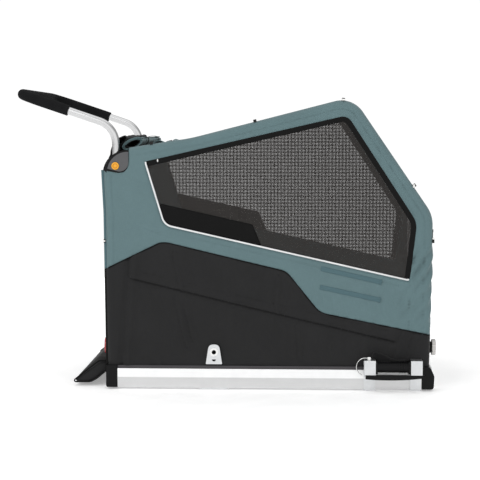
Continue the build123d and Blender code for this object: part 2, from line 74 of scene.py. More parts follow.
# ---------------------------------------------------------------- camera, light and floor
def studio():
    """The camera, a pale floor and soft light from above and in front."""
    scene = bpy.context.scene
    scene.view_settings.view_transform = "Standard"
    camera = bpy.data.objects.new("camera", bpy.data.cameras.new("camera"))
    scene.collection.objects.link(camera)
    camera.location = (0.210, -4.533, 0.7603)
    camera.rotation_euler = (math.radians(90 - 4.344), 0, math.radians(2.366))
    camera.data.lens, camera.data.sensor_width = 108.6, 36
    camera.data.clip_end = 100
    scene.camera = camera
    world = bpy.data.worlds.new("studio")
    world.use_nodes = True
    world_light(world.node_tree)
    scene.world = world
    for name, place, aim, size, power in (
        ("key", (-1.6, -2.6, 3.0), (0, 0, 0.4), 2.4, 36),
        ("fill", (2.6, -2.8, 1.6), (0, 0, 0.4), 2.2, 6),
        ("top", (0.2, 0.3, 3.2), (0, 0, 0.3), 2.6, 14),
        ("back", (0.3, 3.0, 1.6), (0, 0, 0.5), 3.0, 40),
    ):
        light = bpy.data.objects.new(name, bpy.data.lights.new(name, "AREA"))
        light.data.size, light.data.energy = size, power
        light.location = place
        light.rotation_euler = (Vector(aim) - Vector(place)).to_track_quat("-Z", "Y").to_euler()
        light.visible_glossy = name != "back"
        scene.collection.objects.link(light)
    floor = mesh_object("floor", [(-30, -30, 0), (30, -30, 0), (30, 2.9, 0), (-30, 2.9, 0)], [(0, 1, 2, 3)])
    floor_white = plain_material("floor_white", (0.97, 0.97, 0.97), 0.9, grain=40, depth=0.0)
    glow = floor_white.node_tree.nodes["Principled BSDF"]
    glow.inputs["Emission Color"].default_value = (1, 1, 1, 1)
    glow.inputs["Emission Strength"].default_value = 0.30
    paint(floor, floor_white)


def world_light(tree):
    """A white backdrop. Its light is a wide soft glow from the front, with some from above and little elsewhere."""

    def math_node(operation, *inputs):
        step = tree.nodes.new("ShaderNodeMath")
        step.operation = operation
        for socket, value in zip(step.inputs, inputs):
            if isinstance(value, bpy.types.NodeSocket):
                tree.links.new(value, socket)
            else:
                socket.default_value = value
        return step.outputs[0]

    parts = tree.nodes.new("ShaderNodeSeparateXYZ")
    tree.links.new(tree.nodes.new("ShaderNodeTexCoord").outputs["Generated"], parts.inputs[0])
    front = math_node("MAXIMUM", math_node("MULTIPLY", parts.outputs["Y"], -1.0), 0.0)
    above = math_node("MAXIMUM", parts.outputs["Z"], 0.0)
    level = math_node("MULTIPLY_ADD", math_node("MULTIPLY", front, front), 0.95, 0.36)
    level = math_node("MULTIPLY_ADD", above, 0.20, level)
    seen = tree.nodes.new("ShaderNodeLightPath").outputs["Is Camera Ray"]
    level = math_node("MULTIPLY", level, math_node("SUBTRACT", 1.0, seen))
    level = math_node("MULTIPLY_ADD", seen, 1.04, level)
    background = tree.nodes["Background"]
    background.inputs["Color"].default_value = (1, 1, 1, 1)
    tree.links.new(level, background.inputs["Strength"])


# ---------------------------------------------------------------- meshes
def mesh_object(name, points, faces, uv=None, smooth=True):
    """A mesh object from points and faces, with one UV pair for each point where they are given."""
    mesh = bpy.data.meshes.new(name)
    mesh.from_pydata([tuple(map(float, p)) for p in points], [], [tuple(map(int, f)) for f in faces])
    if uv is not None:
        layer = mesh.uv_layers.new(name="UVMap")
        corner = np.zeros(len(mesh.loops), np.int32)
        mesh.loops.foreach_get("vertex_index", corner)
        layer.data.foreach_set("uv", np.asarray(uv, np.float32)[corner].ravel())
    mesh.polygons.foreach_set("use_smooth", [smooth] * len(mesh.polygons))
    piece = bpy.data.objects.new(name, mesh)
    bpy.context.scene.collection.objects.link(piece)
    return piece


def paint(piece, *materials):
    """Replaces a piece's materials."""
    piece.data.materials.clear()
    for material in materials:
        piece.data.materials.append(material)
    return piece


def apply_modifiers(piece):
    """Bakes a piece's modifiers into its mesh."""
    bpy.context.view_layer.update()
    evaluated = piece.evaluated_get(bpy.context.evaluated_depsgraph_get())
    mesh = bpy.data.meshes.new_from_object(evaluated)
    piece.modifiers.clear()
    piece.data = mesh
    return piece


def thicken(piece, thickness=cloth_thick, inner_material=0):
    """Gives a sheet its thickness, inwards, with another material on its inner side if one is given."""
    solid = piece.modifiers.new("thickness", "SOLIDIFY")
    solid.thickness, solid.offset = thickness, -1
    solid.material_offset = inner_material
    return apply_modifiers(piece)


def rounded(corners, radii, step=0.004, closed=True):
    """Points along straight runs joined by tangent arcs, no further apart than step on an arc."""
    path = []
    count = len(corners)
    for i, (corner, radius) in enumerate(zip(corners, radii)):
        here = np.array(corner, float)
        if radius == 0 or (not closed and i in (0, count - 1)):
            path.append(here)
            continue
        a = np.array(corners[i - 1], float) - here
        b = np.array(corners[(i + 1) % count], float) - here
        a, b = a / np.linalg.norm(a), b / np.linalg.norm(b)
        turn = math.pi - math.acos(np.clip(a @ b, -1, 1))
        middle = (a + b) / np.linalg.norm(a + b)
        centre = here + middle * radius / math.cos(turn / 2)
        start = here + a * radius * math.tan(turn / 2) - centre
        sign = math.copysign(1, start[0] * (b - a)[1] - start[1] * (b - a)[0])
        parts = max(2, math.ceil(turn * radius / step))
        for k in range(parts + 1):
            angle = sign * turn * k / parts
            c, s = math.cos(angle), math.sin(angle)
            path.append(centre + np.array([c * start[0] - s * start[1], s * start[0] + c * start[1]]))
    return np.array(path)


def resample(path, step, closed=False):
    """The same path with its points evenly spaced."""
    if closed:
        path = np.vstack([path, path[:1]])
    length = np.concatenate([[0], np.cumsum(np.linalg.norm(np.diff(path, axis=0), axis=1))])
    parts = max(2, round(length[-1] / step))
    at = np.linspace(0, length[-1], parts + 1)[: parts if closed else None]
    return np.column_stack([np.interp(at, length, path[:, k]) for k in range(path.shape[1])])


def normals(path):
    """Unit normals on the left of an open path in a plane."""
    along = np.gradient(path, axis=0)
    along /= np.linalg.norm(along, axis=1)[:, None]
    return np.column_stack([-along[:, 1], along[:, 0]])


def offset(path, distance):
    """An open path moved to its left by a distance."""
    return path + normals(path) * distance


def inside(points, loop):
    """Which points lie inside a closed loop."""
    x, y = points[:, 0], points[:, 1]
    hit = np.zeros(len(points), bool)
    for (x0, y0), (x1, y1) in zip(loop, np.roll(loop, -1, axis=0)):
        cross = (y0 > y) != (y1 > y)
        with np.errstate(divide="ignore", invalid="ignore"):
            hit ^= cross & (x < (x1 - x0) * (y - y0) / (y1 - y0) + x0)
    return hit


def nearest(points, path):
    """For each point: its distance to a path, the place of the nearest spot as an index, and that spot."""
    best = np.full(len(points), np.inf)
    index = np.zeros(len(points))
    spot = np.zeros((len(points), 2))
    for i in range(len(path) - 1):
        a, d = path[i], path[i + 1] - path[i]
        t = np.clip((points - a) @ d / max(d @ d, 1e-18), 0, 1)
        q = a + t[:, None] * d
        r = np.linalg.norm(points - q, axis=1)
        closer = r < best
        best[closer], index[closer], spot[closer] = r[closer], (i + t)[closer], q[closer]
    return best, index, spot


def fill(loop, step, holes=(), extra=()):
    """Fills a closed loop, less its holes, with even triangles. Returns points and triangles."""
    loops = [resample(np.asarray(edge), step, closed=True) for edge in (loop, *holes)]
    low, high = loops[0].min(0), loops[0].max(0)
    row = np.arange(low[0], high[0], step)
    rows = np.arange(low[1], high[1], step * 0.866)
    grid = [np.column_stack([row + (k % 2) * step / 2, np.full(len(row), z)]) for k, z in enumerate(rows)]
    grid = np.vstack(grid + [np.asarray(e) for e in extra])
    keep = inside(grid, loops[0])
    for hole in loops[1:]:
        keep &= ~inside(grid, hole)
    for edge in loops:
        keep &= nearest(grid, np.vstack([edge, edge[:1]]))[0] > step * 0.45
    points, edges, start = [], [], 0
    for edge in loops:
        points.append(edge)
        edges += [(start + i, start + (i + 1) % len(edge)) for i in range(len(edge))]
        start += len(edge)
    points = np.vstack(points + [grid[keep]])
    out, _, triangles, *_ = delaunay_2d_cdt([Vector(p) for p in points], edges, [], 1, 1e-7)
    out = np.array([tuple(p) for p in out])
    triangles = np.array([t for t in triangles if len(t) == 3])
    centres = out[triangles].mean(1)
    keep = inside(centres, loops[0])
    for hole in loops[1:]:
        keep &= ~inside(centres, hole)
    return out, triangles[keep]


def cord_mesh(name, path, radius, sides=8, closed=False, flat=1.0):
    """A round or flattened tube along a path of 3-D points."""
    path = np.asarray(path, float)
    count = len(path)
    along = np.gradient(path, axis=0) if not closed else np.roll(path, -1, 0) - np.roll(path, 1, 0)
    along /= np.linalg.norm(along, axis=1)[:, None]
    up = np.array([0, 1, 0.001])
    side = np.cross(along, up)
    side /= np.linalg.norm(side, axis=1)[:, None]
    other = np.cross(side, along)
    points, faces = [], []
    for k in range(sides):
        angle = 2 * math.pi * k / sides
        points.append(path + radius * (math.cos(angle) * side + flat * math.sin(angle) * other))
    points = np.array(points).transpose(1, 0, 2).reshape(-1, 3)
    for i in range(count if closed else count - 1):
        for k in range(sides):
            a, b = i * sides + k, i * sides + (k + 1) % sides
            c, d = (b + sides) % (count * sides), (a + sides) % (count * sides)
            faces.append((a, b, c, d))
    if not closed:
        faces.append(tuple(range(sides))[::-1])
        faces.append(tuple(range((count - 1) * sides, count * sides)))
    return mesh_object(name, points, faces)


def grid_mesh(name, rows, uv=None):
    """A sheet from rows of 3-D points, all of one length."""
    rows = np.asarray(rows, float)
    m, n = rows.shape[:2]
    corners = [(i * n + j, (i + 1) * n + j) for i in range(m - 1) for j in range(n - 1)]
    faces = [(a, a + 1, b + 1, b) for a, b in corners]
    return mesh_object(name, rows.reshape(-1, 3), faces, None if uv is None else np.asarray(uv).reshape(-1, 2))


def stitches(name, paths, length=0.0034, gap=0.0022, radius=0.00045):
    """Rows of thread stitches along 3-D paths on a side, each a small rounded dash that stands out sideways."""
    points, faces = [], []
    per = 6
    for path in paths:
        dots = resample(np.asarray(path, float), (length + gap) / per)
        out = np.array([0, math.copysign(1, path[0][1]), 0])
        for i in range(0, len(dots) - per, per):
            a, b = dots[i], dots[i + round(per * length / (length + gap))]
            across = np.cross((b - a) / max(np.linalg.norm(b - a), 1e-9), out)
            middle = (a + b) / 2
            base = len(points)
            for spot, w in ((a, 0.25), (middle - 0.35 * (b - a), 1), (middle + 0.35 * (b - a), 1), (b, 0.25)):
                for c, s in ((-1, 0), (0, 1), (1, 0)):
                    points.append(spot + across * radius * w * c + out * radius * w * s)
            for q in (base + k * 3 + j for k in range(3) for j in range(2)):
                faces.append((q, q + 1, q + 4, q + 3))
    return mesh_object(name, points, faces)


def index_at(path, spot):
    """The index of a path's point that is nearest a spot."""
    return int(np.argmin(np.hypot(*(path - np.array(spot)).T)))


def join(piece, body, node=None):
    """Puts a piece on a body; for a joint given as (body, body, start, end) it only bakes the piece's placement. Hides
    the CAD node it stands in for, if one is given.
    """
    if isinstance(body, str):
        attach(piece, body)
    else:
        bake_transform(piece)
    if node:
        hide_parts(node)
    return piece


# ---------------------------------------------------------------- materials
class Shader:
    """One node material, with short calls for the nodes that it uses."""

    def __init__(self, name, **sockets):
        self.material = bpy.data.materials.new(name)
        self.material.use_nodes = True
        self.tree = self.material.node_tree
        self.bsdf = self.tree.nodes["Principled BSDF"]
        for socket, value in sockets.items():
            key = socket.replace("_", " ").title().replace("Ior", "IOR")
            self.bsdf.inputs[key].default_value = value

    def node(self, kind, inputs=(), **settings):
        made = self.tree.nodes.new(kind)
        for key, value in settings.items():
            setattr(made, key, value)
        for key, value in dict(inputs).items():
            self.feed(made.inputs[key], value)
        return made

    def feed(self, socket, value):
        if isinstance(value, bpy.types.NodeSocket):
            self.tree.links.new(value, socket)
        else:
            socket.default_value = value

    def math(self, operation, a, b=0.0, c=0.0):
        return self.node("ShaderNodeMath", {0: a, 1: b, 2: c}, operation=operation).outputs[0]

    def noise(self, vector, scale, detail=2.0, roughness=0.5):
        given = {"Vector": vector, "Scale": scale, "Detail": detail, "Roughness": roughness}
        return self.node("ShaderNodeTexNoise", given).outputs["Fac"]

    def scaled(self, vector, by):
        return self.node("ShaderNodeMapping", {"Vector": vector, "Scale": by}).outputs[0]

    def between(self, factor, dark, light, low=0.35, high=0.65):
        ramp = self.node("ShaderNodeValToRGB", {"Fac": factor})
        ramp.color_ramp.elements[0].position, ramp.color_ramp.elements[1].position = low, high
        ramp.color_ramp.elements[0].color, ramp.color_ramp.elements[1].color = (*dark, 1), (*light, 1)
        return ramp.outputs["Color"]

    def bump(self, height, strength, distance, normal=None):
        given = {"Height": height, "Strength": strength, "Distance": distance}
        if normal is not None:
            given["Normal"] = normal
        return self.node("ShaderNodeBump", given).outputs["Normal"]

    def connect(self, **sockets):
        for socket, value in sockets.items():
            self.feed(self.bsdf.inputs[socket.replace("_", " ").title()], value)
        return self.material


def shade(colour, by):
    """A colour made lighter or darker by a factor."""
    return tuple(min(1, c * by) for c in colour)


def add_fold_shade(piece, values):
    """Stores how deep each point lies in a fold, from 0 to 1, which the cloth materials turn into painted shade in the
    folds.
    """
    layer = piece.data.attributes.new("fold_shade", "FLOAT", "POINT")
    layer.data.foreach_set("value", np.asarray(values, np.float32))


def cloth_material(name, colour, roughness=0.8, weave=0.0009, contrast=0.10, sheen=0.15, depth=0.5, spec=0.3):
    """Plain-woven coated cloth: crossing threads, slubs along both, and slow patches of tone, from UVs in metres, with
    painted shade darkening the folds by the stored fold depth.
    """
    shader = Shader(name, roughness=roughness, specular_ior_level=spec)
    shader.bsdf.inputs["Sheen Weight"].default_value = sheen
    shader.bsdf.inputs["Sheen Roughness"].default_value = 0.5
    uv = shader.node("ShaderNodeTexCoord").outputs["UV"]
    parts = shader.node("ShaderNodeSeparateXYZ", {0: uv})
    waves = []
    for axis in ("X", "Y"):
        turn = shader.math("MULTIPLY", parts.outputs[axis], 2 * math.pi / weave)
        waves.append(shader.math("SINE", turn))
    threads = shader.math("MULTIPLY", waves[0], waves[1])
    slub_x = shader.noise(shader.scaled(uv, (60, 900, 1)), 1.0, 2)
    slub_y = shader.noise(shader.scaled(uv, (900, 60, 1)), 1.0, 2)
    slub = shader.math("MULTIPLY", shader.math("ADD", slub_x, slub_y), 0.5)
    patch = shader.noise(shader.scaled(uv, (9, 9, 1)), 1.0, 4, 0.6)
    tone = shader.math("ADD", shader.math("MULTIPLY", slub, 0.62), shader.math("MULTIPLY", patch, 0.38))
    base = shader.between(tone, shade(colour, 1 - contrast), shade(colour, 1 + contrast), 0.36, 0.64)
    # Painted shade: the colour is darkened by up to 62 % where a point lies deep in a fold.
    fold_shade = shader.node("ShaderNodeAttribute", attribute_name="fold_shade").outputs["Fac"]
    fold_shade_factor = shader.math("MULTIPLY_ADD", fold_shade, -0.62, 1.0)
    base = shader.node("ShaderNodeVectorMath", {0: base, "Scale": fold_shade_factor}, operation="SCALE").outputs[0]
    height = shader.math("ADD", shader.math("MULTIPLY", threads, 0.35), slub)
    return shader.connect(base_color=base, normal=shader.bump(height, depth, 0.0004))


def mesh_material(name, colour, pitch=0.00155, thread=0.442, haze=0.14):
    """Open square mesh: threads that cross, and nothing between them."""
    shader = Shader(name, roughness=0.55, specular_ior_level=0.4)
    uv = shader.node("ShaderNodeTexCoord").outputs["UV"]
    parts = shader.node("ShaderNodeSeparateXYZ", {0: uv})
    cover = []
    width = shader.math("MULTIPLY_ADD", parts.outputs["X"], 0.08, thread - 0.01)
    for axis in ("X", "Y"):
        place = shader.math("FRACT", shader.math("DIVIDE", parts.outputs[axis], pitch))
        cover.append(shader.math("LESS_THAN", place, width))
    alpha = shader.math("MAXIMUM", shader.math("MAXIMUM", cover[0], cover[1]), haze)
    tone = shader.noise(shader.scaled(uv, (300, 300, 1)), 1.0, 2)
    return shader.connect(base_color=shader.between(tone, shade(colour, 0.8), shade(colour, 1.2)), alpha=alpha)


def webbing_material(name, colour, pitch=0.0016):
    """Flat woven webbing with ribs across it."""
    shader = Shader(name, roughness=0.7, specular_ior_level=0.3)
    uv = shader.node("ShaderNodeTexCoord").outputs["Object"]
    waves = shader.node("ShaderNodeTexWave", {"Vector": uv, "Scale": 1 / pitch / 6.28, "Distortion": 0.3})
    tone = shader.noise(uv, 500, 2)
    base = shader.between(tone, shade(colour, 0.7), shade(colour, 1.4))
    return shader.connect(base_color=base, normal=shader.bump(waves.outputs["Fac"], 0.5, 0.0004))


def plain_material(name, colour, roughness, grain=900, depth=0.15, contrast=0.05, spread=0.06, coat=0.0, spec=0.5):
    """A moulded or painted surface: fine grain, a little tone, and roughness that varies."""
    shader = Shader(name, roughness=roughness, specular_ior_level=spec)
    shader.bsdf.inputs["Coat Weight"].default_value = coat
    place = shader.node("ShaderNodeTexCoord").outputs["Object"]
    fine, slow = shader.noise(place, grain, 3), shader.noise(place, 14, 4, 0.6)
    base = shader.between(slow, shade(colour, 1 - contrast), shade(colour, 1 + contrast))
    rough = shader.math("MULTIPLY_ADD", slow, spread, roughness - spread / 2)
    given = {"base_color": base, "roughness": rough}
    if depth:
        given["normal"] = shader.bump(fine, depth, 0.0003)
    return shader.connect(**given)


def metal_material(name, colour, roughness, along="X", streak=0.5, contrast=0.04, painted_shade_below=None):
    """Drawn or brushed metal: fine streaks along one axis, and faint handling marks. Given a height, it also paints
    shade on the surface below that height.
    """
    shader = Shader(name, roughness=roughness, metallic=1.0)
    place = shader.node("ShaderNodeTexCoord").outputs["Object"]
    stretch = [2500.0, 2500.0, 2500.0]
    stretch["XYZ".index(along)] = 12.0
    lines = shader.noise(shader.scaled(place, stretch), 1.0, 2)
    marks = shader.noise(place, 22, 5, 0.65)
    tone = shader.math("ADD", shader.math("MULTIPLY", lines, streak), shader.math("MULTIPLY", marks, 1 - streak))
    base = shader.between(tone, shade(colour, 1 - contrast), shade(colour, 1 + contrast))
    # Painted shade: below the given height the colour is darkened to 73 %, over a soft edge 1.5 mm high.
    if painted_shade_below is not None:
        height = shader.node("ShaderNodeSeparateXYZ", {0: place}).outputs["Z"]
        ranges = {"Value": height, "From Min": painted_shade_below - 0.0015, "From Max": painted_shade_below, "To Min": 0.73}
        painted_shade_scale = shader.node("ShaderNodeMapRange", ranges).outputs[0]
        base = shader.node("ShaderNodeVectorMath", {0: base, "Scale": painted_shade_scale}, operation="SCALE").outputs[0]
    rough = shader.math("MULTIPLY_ADD", marks, 0.14, roughness - 0.07)
    return shader.connect(base_color=base, roughness=rough, normal=shader.bump(lines, 0.08, 0.0002))


def reflector_material(name, colour):
    """A moulded reflector: small prisms in a regular pattern behind a clear glossy face, each painted darker at its
    centre and lighter towards its edges as shade and highlight on its facets.
    """
    shader = Shader(name, roughness=0.12, specular_ior_level=0.6)
    shader.bsdf.inputs["Coat Weight"].default_value = 1.0
    shader.bsdf.inputs["Coat Roughness"].default_value = 0.04
    place = shader.node("ShaderNodeTexCoord").outputs["Object"]
    cells = shader.node("ShaderNodeTexVoronoi", {"Vector": place, "Scale": 420.0, "Randomness": 0.0})
    # Painted shade and highlight: the colour runs from dark at each prism's centre to light at its edges.
    base = shader.between(cells.outputs["Distance"], shade(colour, 0.5), shade(colour, 1.3), 0.1, 0.6)
    return shader.connect(base_color=base, normal=shader.bump(cells.outputs["Distance"], 0.8, 0.0008))


def button_material(name, colour, ring):
    """A moulded button: fine grain, with painted shade in the ring pressed into its face and at its rim."""
    shader = Shader(name, roughness=0.34, specular_ior_level=0.4)
    low, high = (Vector(corner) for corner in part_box("release_button_right"))
    place = shader.node("ShaderNodeTexCoord").outputs["Object"]
    parts = shader.node("ShaderNodeSeparateXYZ", {0: place})
    dx = shader.math("SUBTRACT", parts.outputs["X"], (low.x + high.x) / 2)
    dz = shader.math("SUBTRACT", parts.outputs["Z"], (low.z + high.z) / 2)
    away = shader.math("SQRT", shader.math("ADD", shader.math("MULTIPLY", dx, dx), shader.math("MULTIPLY", dz, dz)))
    radius = (high.x - low.x) / 2
    # Painted shade: a darker ring where the groove is and a darker band at the rim, darkened towards the ring colour.
    groove_shade = shader.math("COMPARE", away, radius * 0.52, radius * 0.09)
    rim_shade = shader.math("GREATER_THAN", away, radius * 0.90)
    dark = shader.math("MAXIMUM", groove_shade, rim_shade)
    grain = shader.noise(place, 900, 3)
    base = shader.between(shader.math("MULTIPLY_ADD", dark, -0.8, 1.0), ring, colour, 0.0, 1.0)
    return shader.connect(base_color=base, normal=shader.bump(grain, 0.08, 0.0003))


teal = cloth_material("teal_cloth", (0.105, 0.170, 0.181), contrast=0.09)
teal_dark = cloth_material("teal_hook_tape", (0.066, 0.124, 0.140), contrast=0.16, weave=0.0014, depth=0.9)
lining = cloth_material("lining", (0.018, 0.019, 0.020), contrast=0.12, sheen=0.03, spec=0.1)
black = cloth_material("black_cloth", (0.0155, 0.0155, 0.016), roughness=0.72, contrast=0.16, sheen=0.06, spec=0.16)
black_deep = cloth_material("black_tape", (0.006, 0.006, 0.006), contrast=0.2, sheen=0.0, spec=0.12)
net = mesh_material("black_net", (0.016, 0.0130, 0.0112))
mat_cloth = cloth_material("mat_cloth", (0.030, 0.030, 0.032), contrast=0.14, weave=0.0016, sheen=0.05, spec=0.15)
webbing = webbing_material("black_webbing", (0.010, 0.010, 0.010))
thread_teal = plain_material("teal_thread", (0.10, 0.165, 0.175), 0.6, grain=2500)
thread_black = plain_material("black_thread", (0.008, 0.008, 0.008), 0.6, grain=2500, spec=0.2)
piping = plain_material("reflective_piping", (0.74, 0.745, 0.75), 0.32, grain=1800, depth=0.3, coat=0.3)
# The side rails get painted shade on their faces below 37.2 mm.
rail_metal = metal_material("rail_aluminium", (0.90, 0.902, 0.905), 0.42, painted_shade_below=0.0372)
tube_metal = metal_material("tube_aluminium", (0.60, 0.602, 0.606), 0.22, along="Y")
plate_metal = metal_material("zinc_plate", (0.66, 0.67, 0.68), 0.36, along="Z", streak=0.3, contrast=0.08)
pin_metal = metal_material("bright_steel", (0.80, 0.80, 0.79), 0.20, streak=0.3)
spring_metal = metal_material("spring_steel", (0.55, 0.55, 0.56), 0.3)
black_moulding = plain_material("black_moulding", (0.0042, 0.0042, 0.0046), 0.36, grain=1100, depth=0.25, spec=0.14)
hub_black = plain_material("hub_black", (0.0050, 0.0050, 0.0054), 0.38, grain=1100, depth=0.2, spec=0.16)
grey_moulding = plain_material("grey_moulding", (0.068, 0.069, 0.073), 0.48, grain=1200, depth=0.3)
# The button's second colour is the painted shade in its groove and at its rim.
orange = button_material("orange_button", (0.80, 0.37, 0.020), (0.50, 0.19, 0.012))
foam = plain_material("foam_grip", (0.0075, 0.0075, 0.008), 0.9, grain=1600, depth=0.9, contrast=0.25, spec=0.12)
board = plain_material("floor_board", (0.05, 0.05, 0.05), 0.6)
clear_lens = reflector_material("clear_lens", (0.62, 0.60, 0.58))
red_lens = reflector_material("red_lens", (0.42, 0.012, 0.016))
cross_metal = metal_material("cross_rail_aluminium", (0.93, 0.932, 0.935), 0.42, along="Y")
white_tape = webbing_material("white_tape", (0.62, 0.62, 0.60))
keder = plain_material("keder_strip", (0.036, 0.033, 0.037), 0.55, grain=1500, depth=0.3)

cad_materials = {
    rail_metal: ["rail_right", "rail_left", "floor_braces"],
    cross_metal: ["rail_front", "rail_rear"],
    keder: ["hem_strips"],
    tube_metal: ["hoop_right", "hoop_left", "spreader_bar", "handlebar_tube"],
    plate_metal: ["axle_brackets", "axle_plates", "receiver_straps"],
    webbing: ["cover_loops", "zip_pulls"],
    pin_metal: ["axle_bushings", "base_screws", "pivot_pins", "hitch_pin_right", "hitch_pin_left", "pin_bail_right",
                "pin_bail_left"],
    spring_metal: ["button_spring_right", "button_spring_left"],
    hub_black: ["hub_housing_right", "hub_housing_left", "leg_ends"],
    black_moulding: ["corner_castings", "receiver_right", "receiver_left", "receiver_trays", "spreader_pivot",
                     "spreader_clip", "reflector_bases"],
    grey_moulding: ["hub_cover_right", "hub_cover_left"],
    orange: ["release_button_right", "release_button_left"],
    foam: ["handlebar_grip"],
    board: ["floor_panel"],
    clear_lens: ["front_reflectors"],
    red_lens: ["rear_reflectors"],
}
for material, names in cad_materials.items():
    for name in names:
        paint(nodes[name], material)


# ---------------------------------------------------------------- side covers
rear_stretch = resample(rounded([rear_foot, rear_bulge, rear_shoulder], [0, 0.5, 0], closed=False), 0.005)
top_stretch = resample(
    rounded([hub_top, roof_bend, peak, front_knee, front_foot], [0, 0.6, 0.075, 0.095, 0], closed=False), 0.005
)
skirt_edge = resample(rounded(skirt_corners, skirt_radii, closed=False), 0.005)
window = rounded(window_corners, window_radii)
notch = [(-0.3655, 0.644), (-0.352, 0.641), (-0.339, 0.639), (-0.318, 0.6355), (-0.302, 0.638)]
notch += [(-0.2925, 0.648), (-0.2885, 0.661)]
rear_fold, top_fold = offset(rear_stretch, -wrap_r), offset(top_stretch, -wrap_r)
rear_flat = offset(rear_stretch, wrap_run - wrap_r)
top_flat = offset(top_stretch, wrap_run - wrap_r)
seam_inset = 0.024
pocket_edge = resample(np.array([(-0.283, 0.329), (0.036, 0.252), (0.486, 0.147)]), 0.005)
fold_line = np.array([(-0.279, 0.388), (-0.290, 0.250), (-0.302, 0.072)])
kink_seam = np.array([(0.530, 0.322), (0.527, 0.172)])
piping_end = (0.5305, 0.3265)
hook_tapes = [((0.273, 0.358), (0.447, 0.319)), ((0.270, 0.304), (0.444, 0.267))]


def gauss(value, width):
    """A soft ridge: 1 at 0, and near 0 beyond twice the width."""
    return np.exp(-((value / width) ** 2))


def ramp(value, low, high):
    """A smooth step from 0 at the low value to 1 at the high one."""
    t = np.clip((value - low) / (high - low), 0, 1)
    return t * t * (3 - 2 * t)


def fbm(points, scale, seed, octaves=3):
    """Smooth noise from -1 to 1 at each flat point, with the scale given along each axis."""
    out = np.zeros(len(points))
    for i, (x, z) in enumerate(points):
        at = Vector((x * scale[0] + seed, z * scale[1], seed * 0.37))
        out[i] = noise.fractal(at, 1.0, 2.0, octaves)
    return out


def side_of(points, path):
    """Signed distance to an open path, positive on its left."""
    gap, index, _ = nearest(points, path)
    i = np.clip(index.astype(int), 0, len(path) - 2)
    along = path[i + 1] - path[i]
    away = points - path[i]
    return gap * np.sign(along[:, 0] * away[:, 1] - along[:, 1] * away[:, 0])


def upper_relief(points):
    """How far the teal panel stands out at each flat point: seams pull in, and slack cloth folds."""
    x, z = points[:, 0], points[:, 1]
    gap_top, gap_rear = -side_of(points, top_stretch), -side_of(points, rear_stretch)
    height = 0.0007 * fbm(points, (7, 5), 3.1)
    height -= 0.0011 * gauss(gap_top - seam_inset, 0.0022) + 0.0011 * gauss(gap_rear - seam_inset, 0.0022)
    window_gap = nearest(points, np.vstack([window, window[:1]]))[0]
    height -= 0.0012 * gauss(window_gap - 0.0045, 0.003)
    hem = side_of(points, np.array([(-0.16, 0.4585), (0.53, 0.3015)]))
    height -= 0.0010 * gauss(hem, 0.0018) * ramp(x, -0.13, -0.09)
    crease = side_of(points, np.array([(-0.262, 0.491), (-0.165, 0.452)]))
    near = gauss(x + 0.212, 0.05)
    height += 0.0016 * gauss(crease, 0.006) * near - 0.0014 * gauss(crease + 0.008, 0.004) * near
    brow = side_of(points, np.array([(-0.35, 0.671), (-0.24, 0.681)]))
    height -= 0.0013 * gauss(brow, 0.0020) * ramp(-x, 0.25, 0.262) * ramp(x, -0.30, -0.288)
    wave = np.sin((x + 0.012 * np.sin(z * 30)) * 190 + 2.4 * fbm(points, (9, 3), 8.3, 2))
    height += 0.0008 * wave * ramp(x, 0.22, 0.34) * ramp(-z, -0.33, -0.24) * (1 - ramp(x, 0.49, 0.53))
    seam = nearest(points, kink_seam)[0]
    height -= 0.0018 * gauss(seam, 0.0025)
    slant = (x - 0.53) * 0.55 - (z - 0.16) * 0.42
    folds = np.sin(slant * 2 * math.pi / 0.021 + 1.6 * fbm(points, (14, 6), 5.7, 2))
    zone = ramp(x, 0.528, 0.545) * ramp(z, 0.17, 0.22) * (1 - ramp(z, 0.40, 0.47))
    height += 0.0048 * folds * zone * (0.6 + 0.4 * fbm(points, (6, 9), 2.2, 2))
    left = ramp(x, 0.49, 0.51) * (1 - ramp(x, 0.524, 0.530)) * ramp(z, 0.19, 0.22) * (1 - ramp(z, 0.29, 0.32))
    height += 0.0028 * np.sin(slant * 2 * math.pi / 0.026) * left
    return height


def skirt_relief(points):
    """How far the black skirt stands out: the pocket flap's edge, the rear fold and many soft upright folds."""
    x, z = points[:, 0], points[:, 1]
    above = side_of(points, pocket_edge)
    on = ramp(x, -0.292, -0.280) * (1 - ramp(x, 0.484, 0.496))
    height = on * (0.0042 * ramp(above, -0.0012, 0.0012) * (1 - 0.75 * ramp(above, 0.006, 0.045)))
    height -= on * 0.0022 * ramp(above, -0.017, -0.004) * (1 - ramp(above, -0.0012, 0.0012))
    height -= on * 0.0009 * gauss(above - 0.025, 0.0018)
    fold = side_of(points, fold_line)
    height += 0.0055 * gauss(fold - 0.006, 0.013) - 0.0050 * gauss(fold + 0.010, 0.009)
    drop = ramp(z, 0.08, 0.12) * (1 - ramp(z, 0.36, 0.42))
    upright = fbm(points, (34, 2.6), 1.7, 3)
    broad = fbm(points, (11, 1.6), 6.1, 2)
    amount = 0.0011 + 0.0014 * ramp(x, 0.25, 0.5) + 0.0008 * gauss(x - 0.15, 0.05) + 0.0008 * gauss(x + 0.16, 0.04)
    height += amount * upright * (0.35 + 0.65 * drop) + 0.0016 * broad
    for line in (
        [(-0.155, 0.40), (-0.135, 0.30)],
        [(-0.150, 0.27), (-0.118, 0.13)],
        [(-0.125, 0.26), (-0.100, 0.15)],
        [(0.150, 0.33), (0.142, 0.24)],
        [(0.205, 0.19), (0.212, 0.09)],
        [(0.510, 0.165), (0.485, 0.085)],
        [(0.545, 0.160), (0.520, 0.080)],
    ):
        line = np.array(line)
        gap, near = side_of(points, line), nearest(points, line)[0]
        height += 0.0028 * gauss(near, 0.007) - 0.0026 * gauss(gap + 0.008, 0.005) * gauss(near, 0.018)
    height -= 0.0025 * gauss(z - 0.0775, 0.0022)
    ring = np.hypot(x + 0.04, z - 0.107)
    height -= 0.0035 * gauss(np.maximum(ring - 0.020, 0), 0.016)
    knot = np.hypot(x + 0.200, z - 0.078)
    height += 0.0035 * gauss(knot, 0.006)
    return height


